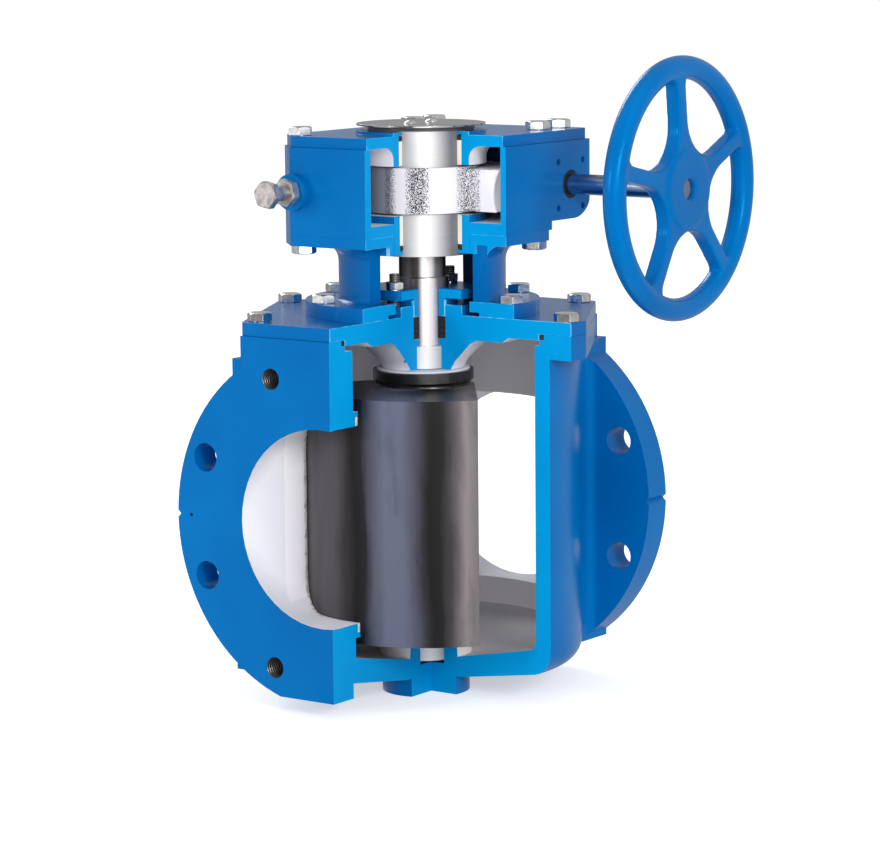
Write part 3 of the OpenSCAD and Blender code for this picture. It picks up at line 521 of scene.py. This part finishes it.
finishes = {
    "glossEnamel": glossEnamel(),
    "sectionEnamel": sectionEnamel(),
    "edgeHighlightEnamel": edgeHighlightEnamel(),
    "shadowEnamel": shadowEnamel(),
    # painted light: the chamber's walls a brighter white than the pale coat, standing in for light that reaches
    # inside
    "chamberGrey": flatGrey("chamberGrey", (246, 244, 247), (236, 234, 238)),
    # painted shade: the chamber's floor a darker grey than the rest of the inside coat
    "floorGrey": flatGrey("floorGrey", (206, 204, 208), (188, 186, 190)),
    "paleCoat": flatGrey("paleCoat", (236, 236, 244), (222, 222, 232)),
    "stainless": brushedSleeve(),
    "stemSteel": polishedStem(),
    "tappedThread": threadedSteel("tappedThread", 0, 0.0025),
    "studThread": threadedSteel("studThread", 2, 0.0016),
    "shaftSteel": turnedMetal("shaftSteel", (150, 164, 190), (120, 131.2, 152), 0.22, alongY),
    "discSteel": turnedMetal("discSteel", (176, 174, 176), (120, 116, 118), 0.16, (60, 60, 60)),
    "darkSteel": flatGrey("darkSteel", (78, 78, 80), (60, 60, 64), 0.4, 0.5),
    "bronze": turnedMetal("bronze", (205, 150, 92), (164, 120, 73.6), 0.3, alongY),
    "zincPlate": zincPlate(),
    "dullSteel": dullSteel(),
    "wheelIron": wheelIron(),
    "rubberSkin": rubberSkin(),
    "collarRubber": collarRubber(),
    "sealRubber": sealRubber(),
    "creamPlastic": creamPlastic(),
    "weldNickel": weldNickel(),
}
print("finishes ready:", len(finishes))

# Pieces made from copies of the CAD nodes

castRound = {
    "mergeDistance": 1e-6,
    "flatAngle": math.radians(0.6),
    "sharpAngle": math.radians(32),
}


def joinedUp(node):
    # a CAD node's loose triangles with their corners merged
    bm = bmesh.new()
    bm.from_mesh(cadNodes[node].data)
    bmesh.ops.remove_doubles(bm, verts=bm.verts, dist=castRound["mergeDistance"])
    return bm


def mergedCopy(node):
    # the node's mesh with flat faces in one piece
    bm = joinedUp(node)
    bmesh.ops.dissolve_limit(bm, angle_limit=castRound["flatAngle"], verts=bm.verts, edges=bm.edges,
                             delimit={"NORMAL"})
    mesh = bpy.data.meshes.new(node)
    bm.to_mesh(mesh)
    bm.free()
    for layer in [a.name for a in mesh.attributes if a.name == "custom_normal"]:
        mesh.attributes.remove(mesh.attributes[layer])
    mesh.materials.clear()
    return mesh


def finishMesh(piece):
    # the piece's evaluated mesh takes the place of its modifiers
    plain = bpy.data.meshes.new_from_object(piece.evaluated_get(bpy.context.evaluated_depsgraph_get()))
    piece.modifiers.clear()
    piece.data = plain


def smooth(mesh, sharpAngle=None):
    mesh.polygons.foreach_set("use_smooth", [True] * len(mesh.polygons))
    if sharpAngle:
        mesh.set_sharp_from_angle(angle=sharpAngle)


def roundEdges(piece, width, segments, angle, miter="MITER_SHARP"):
    bevel = piece.modifiers.new("rounding", "BEVEL")
    bevel.width = width
    bevel.segments = segments
    bevel.limit_method = "ANGLE"
    bevel.angle_limit = angle
    bevel.harden_normals = True
    bevel.miter_outer = miter
    finishMesh(piece)


def roundedCopy(node, width, segments=2, name=None):
    mesh = mergedCopy(node)
    smooth(mesh, castRound["sharpAngle"])
    piece = placed(name or node + "_finished", mesh)
    if width:
        roundEdges(piece, width, segments, castRound["sharpAngle"], "MITER_ARC")
    return piece


def carry(piece, node):
    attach(piece, bodyOf[node])
    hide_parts(node)


def paintFaces(piece, names, choose):
    # choose gives the name of a finish for a face's middle and normal
    for name in names:
        piece.data.materials.append(finishes[name])
    places = {name: place for place, name in enumerate(names)}
    for face in piece.data.polygons:
        face.material_index = places[choose(face.center, face.normal)]


# Castings: enamel outside, lighter enamel on the cut faces, pale coat inside

cut = {
    "x": -0.007,
    "y": -0.010,
    "flat": 0.00005,
    "edge": 0.0016,
    "leaning": -0.15,        # a normal's part towards the cut on a rounded edge
    "square": -0.99,         # and on the plane itself
    "legLow": 0.3106,
    "legTop": 0.3470,
}

bodyCasting = {
    "round": 0.0011,
    "flowZ": 0.1465,
    "chamberR": 0.1118,
    "wallR": 0.1035,
    "floorZ": 0.0285,
    "lowZ": 0.06,
    "ceilingZ": 0.2885,
    "paleZ": 0.2535,
    "upward": 0.3,
    "passageR": 0.0785,
    "passageRoom": 0.004,
    "flangeX": 0.1331,
    "tappedY": 0.0462,
    "tappedOff": 0.1115,
    "tappedR": 0.0125,
    "tappedX": 0.107,
    "tappedWall": 0.5,
}
adapterCasting = {"facing": -0.3, "below": 0.012, "over": 0.008}
housingCasting = {"floorZ": 0.3712, "ceilingZ": 0.4298, "insideR": 0.096, "facing": -0.002, "upward": 0.9}


def radial(center):
    return math.hypot(center.x, center.y)


def outward(center, normal):
    # above 0 where a face looks away from the stem, below 0 where it looks back at it
    return center.x * normal.x + center.y * normal.y


def sectionOf(center, normal):
    # the finish of the cutaway's two planes, and the painted highlight on the rounded edges beside them
    if cut["legLow"] < center.z < cut["legTop"]:
        return None
    besideX, besideY = center.x - cut["x"], center.y - cut["y"]
    for beside, other, facing in ((besideX, besideY, normal.x), (besideY, besideX, normal.y)):
        if -cut["flat"] < beside < cut["edge"] and other < cut["flat"] and facing < cut["leaning"]:
            return "sectionEnamel" if beside < cut["flat"] and facing < cut["square"] else "edgeHighlightEnamel"
    return None


def bodyInside(center, normal):
    body = bodyCasting
    upright = center.z - body["flowZ"]
    fromHole = math.hypot(abs(center.y) - body["tappedY"], abs(upright) - body["tappedOff"])
    deep = abs(center.x) > body["tappedX"]
    if fromHole < body["tappedR"] and abs(normal.x) < body["tappedWall"] and deep:
        return "tappedThread"
    if radial(center) < body["chamberR"] and body["floorZ"] < center.z < body["ceilingZ"]:
        low = center.z < body["lowZ"]
        if low and normal.z > body["upward"]:
            return "floorGrey"
        wall = radial(center) > body["wallR"] and outward(center, normal) < 0
        return "chamberGrey" if low or wall and center.z < body["paleZ"] else "paleCoat"
    off = Vector((0, center.y, upright))
    if off.length < body["passageR"] + body["passageRoom"] and abs(center.x) < body["flangeX"]:
        return "paleCoat" if off.dot(normal) < 0 else None
    return None


def adapterInside(center, normal):
    # the legs' faces that look in at the stem, between the flanges, take the painted shade
    between = cut["legLow"] - adapterCasting["below"] < center.z < cut["legTop"] + adapterCasting["over"]
    inward = outward(center, normal) < adapterCasting["facing"] * radial(center)
    return "shadowEnamel" if inward and between else None


def housingInside(center, normal):
    # faces that look back at the stem or up from the floor of the gear case
    housing = housingCasting
    within = housing["floorZ"] < center.z < housing["ceilingZ"] and radial(center) < housing["insideR"]
    shown = outward(center, normal) < housing["facing"] or normal.z > housing["upward"]
    return "paleCoat" if within and shown else None


def paleUnder(top, radius):
    # for a lid: pale coat on what lies lower than top and within radius
    def inside(center, normal):
        return "paleCoat" if center.z < top and radial(center) < radius else None
    return inside


castFinishes = ("glossEnamel", "sectionEnamel", "edgeHighlightEnamel", "chamberGrey", "paleCoat", "shadowEnamel",
                "tappedThread", "floorGrey")


def dressCasting(node, width, inside):
    piece = roundedCopy(node, width)

    def choose(center, normal):
        return sectionOf(center, normal) or inside and inside(center, normal) or "glossEnamel"

    paintFaces(piece, castFinishes, choose)
    carry(piece, node)


castings = {
    "valve_body": (bodyCasting["round"], bodyInside),
    "bonnet": (0.0009, paleUnder(0.2885, 0.1135)),
    "packing_gland": (0.0007, None),
    "gearbox_adapter": (0.0009, adapterInside),
    "gear_housing": (0.0011, housingInside),
    "housing_cover": (0.0009, paleUnder(0.43005, 0.08)),
    "worm_end_cap": (0.0008, None),
}
for castNode, (castWidth, castInside) in castings.items():
    dressCasting(castNode, castWidth, castInside)
    print("casting:", castNode)

# Handwheel: remeshed so that spokes, hub and rim run into each other as in a casting

handwheelCasting = {"voxel": 0.0011, "passes": 8, "strength": 0.6}


def makeHandwheel():
    piece = placed("handwheel_casting", mergedCopy("handwheel"))
    remesh = piece.modifiers.new("grain", "REMESH")
    remesh.mode = "VOXEL"
    remesh.voxel_size = handwheelCasting["voxel"]
    flow = piece.modifiers.new("flow", "SMOOTH")
    flow.iterations = handwheelCasting["passes"]
    flow.factor = handwheelCasting["strength"]
    finishMesh(piece)
    smooth(piece.data)
    piece.data.materials.clear()
    piece.data.materials.append(finishes["glossEnamel"])
    carry(piece, "handwheel")


makeHandwheel()
print("handwheel ready")

# Plug: the moulded rubber with soft edges, its collar glossy

plugMould = {"round": 0.0026, "segments": 3, "collarZ": 0.2431, "collarR": 0.0402}


def makePlug():
    piece = roundedCopy("plug_rubber", plugMould["round"], plugMould["segments"], "plug_rubber_skin")

    def choose(center, normal):
        onCollar = center.z > plugMould["collarZ"] and radial(center) < plugMould["collarR"]
        return "collarRubber" if onCollar else "rubberSkin"

    paintFaces(piece, ("rubberSkin", "collarRubber"), choose)
    carry(piece, "plug_rubber")


makePlug()
print("plug ready")

# Plain turned and moulded pieces: small edge roundings and their own finishes

turnedPieces = {
    "plug_casting": (0.0006, "stemSteel"),
    "drive_sleeve": (0.0005, "stainless"),
    "upper_thrust_washer": (0.0002, "paleCoat"),
    "lower_thrust_washer": (0.0003, "creamPlastic"),
    "upper_journal_bushing": (0.0003, "stainless"),
    "lower_journal_bushing": (0.0003, "stainless"),
    "upper_sleeve_bushing": (0.0002, "creamPlastic"),
    "lower_sleeve_bushing": (0.0002, "creamPlastic"),
    "packing_rings": (0.0004, "sealRubber"),
    "bonnet_o_ring": (0, "sealRubber"),
    "upper_sleeve_o_ring": (0, "sealRubber"),
    "lower_sleeve_o_ring": (0, "sealRubber"),
    "shaft_seal": (0.0004, "sealRubber"),
    "worm_front_bearing": (0.0004, "bronze"),
    "worm_rear_bearing": (0.0004, "bronze"),
    "worm_wheel": (0.0004, "wheelIron"),
    "worm_shaft": (0.0003, "shaftSteel"),
    "indicator_base": (0.0004, "darkSteel"),
    "indicator_plate": (0.0003, "discSteel"),
    "indicator_screws": (0.0003, "zincPlate"),
    "gland_studs": (0.0003, "studThread"),
    "seat_ring": (0.0005, "weldNickel"),
    "stem_key": (0, "dullSteel"),
    "sleeve_key": (0, "dullSteel"),
    "shaft_key": (0, "dullSteel"),
    "handwheel_set_screw": (0.0003, "dullSteel"),
}
for turnedNode, (turnedWidth, turnedFinish) in turnedPieces.items():
    turnedPiece = roundedCopy(turnedNode, turnedWidth)
    turnedPiece.data.materials.append(finishes[turnedFinish])
    carry(turnedPiece, turnedNode)
print("turned pieces:", len(turnedPieces))

# Hexagon bolts and nuts, grown by one tree from a point for each

hexPieces = {
    "chamfer": math.radians(30),
    "topShare": 0.475,       # radius of the flat on top, as a share of the size across flats
    "washerShare": 0.465,
    "washerHeight": 0.0004,
    "spare": 0.001,          # how far prism and cone stand out past each other
    "underside": 1.5,        # where a nut's lower chamfer starts, in washer heights
    "coneSides": 48,
    "roundSides": 32,
    "shankSides": 24,
    "edge": 0.00025,
    "edgeSegments": 2,
    "sharpAngle": math.radians(28),
    "headShare": 0.95,       # points this far out, of the furthest, belong to the head
    "leastShank": 0.001,
}
halfCorner = math.cos(math.radians(30))     # half the size across flats, as a share of a corner's radius


def hexTree(name, isNut, finish):
    group = bpy.data.node_groups.new(name, "GeometryNodeTree")
    group.interface.new_socket("Geometry", in_out="INPUT", socket_type="NodeSocketGeometry")
    for title in ("Across Flats", "Head Height", "Shank Radius", "Shank Length"):
        group.interface.new_socket(title, in_out="INPUT", socket_type="NodeSocketFloat")
    group.interface.new_socket("Axis", in_out="INPUT", socket_type="NodeSocketVector")
    group.interface.new_socket("Seed", in_out="INPUT", socket_type="NodeSocketInt")
    group.interface.new_socket("Geometry", in_out="OUTPUT", socket_type="NodeSocketGeometry")
    tree = Tree(group)
    given = group.nodes.new("NodeGroupInput")
    entry = {socket.name: Value(tree, socket) for socket in given.outputs}
    across, high = entry["Across Flats"], entry["Head Height"]
    shank, long = entry["Shank Radius"], entry["Shank Length"]
    washer, spare, round = (hexPieces[key] for key in ("washerHeight", "spare", "roundSides"))

    def moved(mesh, z):
        lift = tree.add("ShaderNodeCombineXYZ", {}, {2: z})
        return tree.add("GeometryNodeTransform", {}, {"Geometry": mesh, "Translation": lift})

    def cylinder(sides, radius, depth, z):
        body = tree.add("GeometryNodeMeshCylinder", {}, {"Vertices": sides, "Radius": radius, "Depth": depth})
        return moved(body, z)

    def cone(bottomRadius, topRadius, z):
        body = tree.add("GeometryNodeMeshCone", {}, {
            "Vertices": hexPieces["coneSides"], "Radius Top": topRadius, "Radius Bottom": bottomRadius,
            "Depth": high + spare})
        return moved(body, z)

    def boolean(operation, values):
        return tree.add("GeometryNodeMeshBoolean", {"operation": operation}, values)

    flat = across * hexPieces["topShare"]
    wide = flat + (high + spare) / math.tan(hexPieces["chamfer"])
    prism = cylinder(6, across / (2 * halfCorner), high + spare, (high + spare) / 2 + washer)
    head = boolean("INTERSECT", {1: [prism, cone(wide, flat, -spare)]})
    if isNut:
        head = boolean("INTERSECT", {1: [head, cone(flat, wide, washer * hexPieces["underside"])]})
    parts = [head, cylinder(round, across * hexPieces["washerShare"], washer * 2, washer)]
    if isNut:
        bore = cylinder(round, shank, high * 3, high / 2)
        whole = boolean("DIFFERENCE", {0: boolean("UNION", {1: parts}), 1: bore})
    else:
        parts.append(cylinder(hexPieces["shankSides"], shank, long, long * -0.5))
        whole = tree.add("GeometryNodeJoinGeometry", {}, {0: parts})
    aimed = tree.add("FunctionNodeAlignRotationToVector", {"axis": "Z"}, {"Vector": entry["Axis"]})
    copies = tree.add("GeometryNodeInstanceOnPoints", {}, {
        "Points": entry["Geometry"], "Instance": whole, "Rotation": aimed})
    spin = tree.add("FunctionNodeRandomValue", {"data_type": "FLOAT"},
                    {2: 0.0, 3: math.pi / 3, 8: entry["Seed"]}, 1)
    spun = tree.add("GeometryNodeRotateInstances", {}, {
        "Instances": copies, "Rotation": tree.add("ShaderNodeCombineXYZ", {}, {2: spin})})
    real = tree.add("GeometryNodeRealizeInstances", {}, {0: spun})
    named = tree.add("GeometryNodeSetMaterial", {}, {"Geometry": real, "Material": finish})
    tree.add("NodeGroupOutput", {}, {0: named})
    return group


def solidsOf(node):
    # the corner points of each separate solid of a CAD node
    bm = joinedUp(node)
    seen, solids = set(), []
    for start in bm.verts:
        if start in seen:
            continue
        stack, solid = [start], []
        seen.add(start)
        while stack:
            vert = stack.pop()
            solid.append(vert.co.copy())
            for edge in vert.link_edges:
                other = edge.other_vert(vert)
                if other not in seen:
                    seen.add(other)
                    stack.append(other)
        solids.append(solid)
    bm.free()
    return solids


def measureHex(solid, axis):
    # sizes of a hexagon bolt or nut whose head's top lies towards the axis
    along = [point.dot(axis) for point in solid]
    low = Vector([min(point[i] for point in solid) for i in range(3)])
    high = Vector([max(point[i] for point in solid) for i in range(3)])
    middle = (low + high) / 2
    radii = [((point - middle) - (point - middle).dot(axis) * axis).length for point in solid]
    corner = max(radii)
    seat = min(a for a, r in zip(along, radii) if r > corner * hexPieces["headShare"])
    return {"place": middle + (seat - middle.dot(axis)) * axis, "Across Flats": corner * 2 * halfCorner,
            "Head Height": max(along) - seat, "Shank Radius": min(radii),
            "Shank Length": max(seat - min(along), hexPieces["leastShank"])}


def growHex(node, axis, finish, isNut, seed):
    sizes = [measureHex(solid, Vector(axis)) for solid in solidsOf(node)]
    mesh = bpy.data.meshes.new(node + "_points")
    mesh.from_pydata([size["place"] for size in sizes], [], [])
    piece = placed(node + "_turned", mesh)
    group = hexTree(node + "Tree", isNut, finishes[finish])
    modifier = piece.modifiers.new("hex", "NODES")
    modifier.node_group = group
    values = {**sizes[0], "Axis": axis, "Seed": seed}
    for item in group.interface.items_tree:
        if item.in_out == "INPUT" and item.name in values:
            modifier[item.identifier] = values[item.name]
    finishMesh(piece)
    smooth(piece.data, hexPieces["sharpAngle"])
    roundEdges(piece, hexPieces["edge"], hexPieces["edgeSegments"], hexPieces["sharpAngle"])
    carry(piece, node)


# the way the head looks, finish, whether it is a nut, seed of the random turn
hexNodes = {
    "bonnet_bolts": ((0.0, 0.0, 1.0), "zincPlate", False, 3),
    "adapter_base_bolts": ((0.0, 0.0, 1.0), "zincPlate", False, 5),
    "adapter_top_bolts": ((0.0, 0.0, -1.0), "zincPlate", False, 7),
    "cover_bolts": ((0.0, 0.0, 1.0), "zincPlate", False, 9),
    "end_cap_screws": ((0.0, 1.0, 0.0), "zincPlate", False, 2),
    "stop_bolt": ((-1.0, 0.0, 0.0), "dullSteel", False, 1),
    "gland_nuts": ((0.0, 0.0, 1.0), "zincPlate", True, 6),
    "stop_nut": ((-1.0, 0.0, 0.0), "dullSteel", True, 8),
}
for hexNode, hexRow in hexNodes.items():
    growHex(hexNode, *hexRow)
print("fasteners ready")
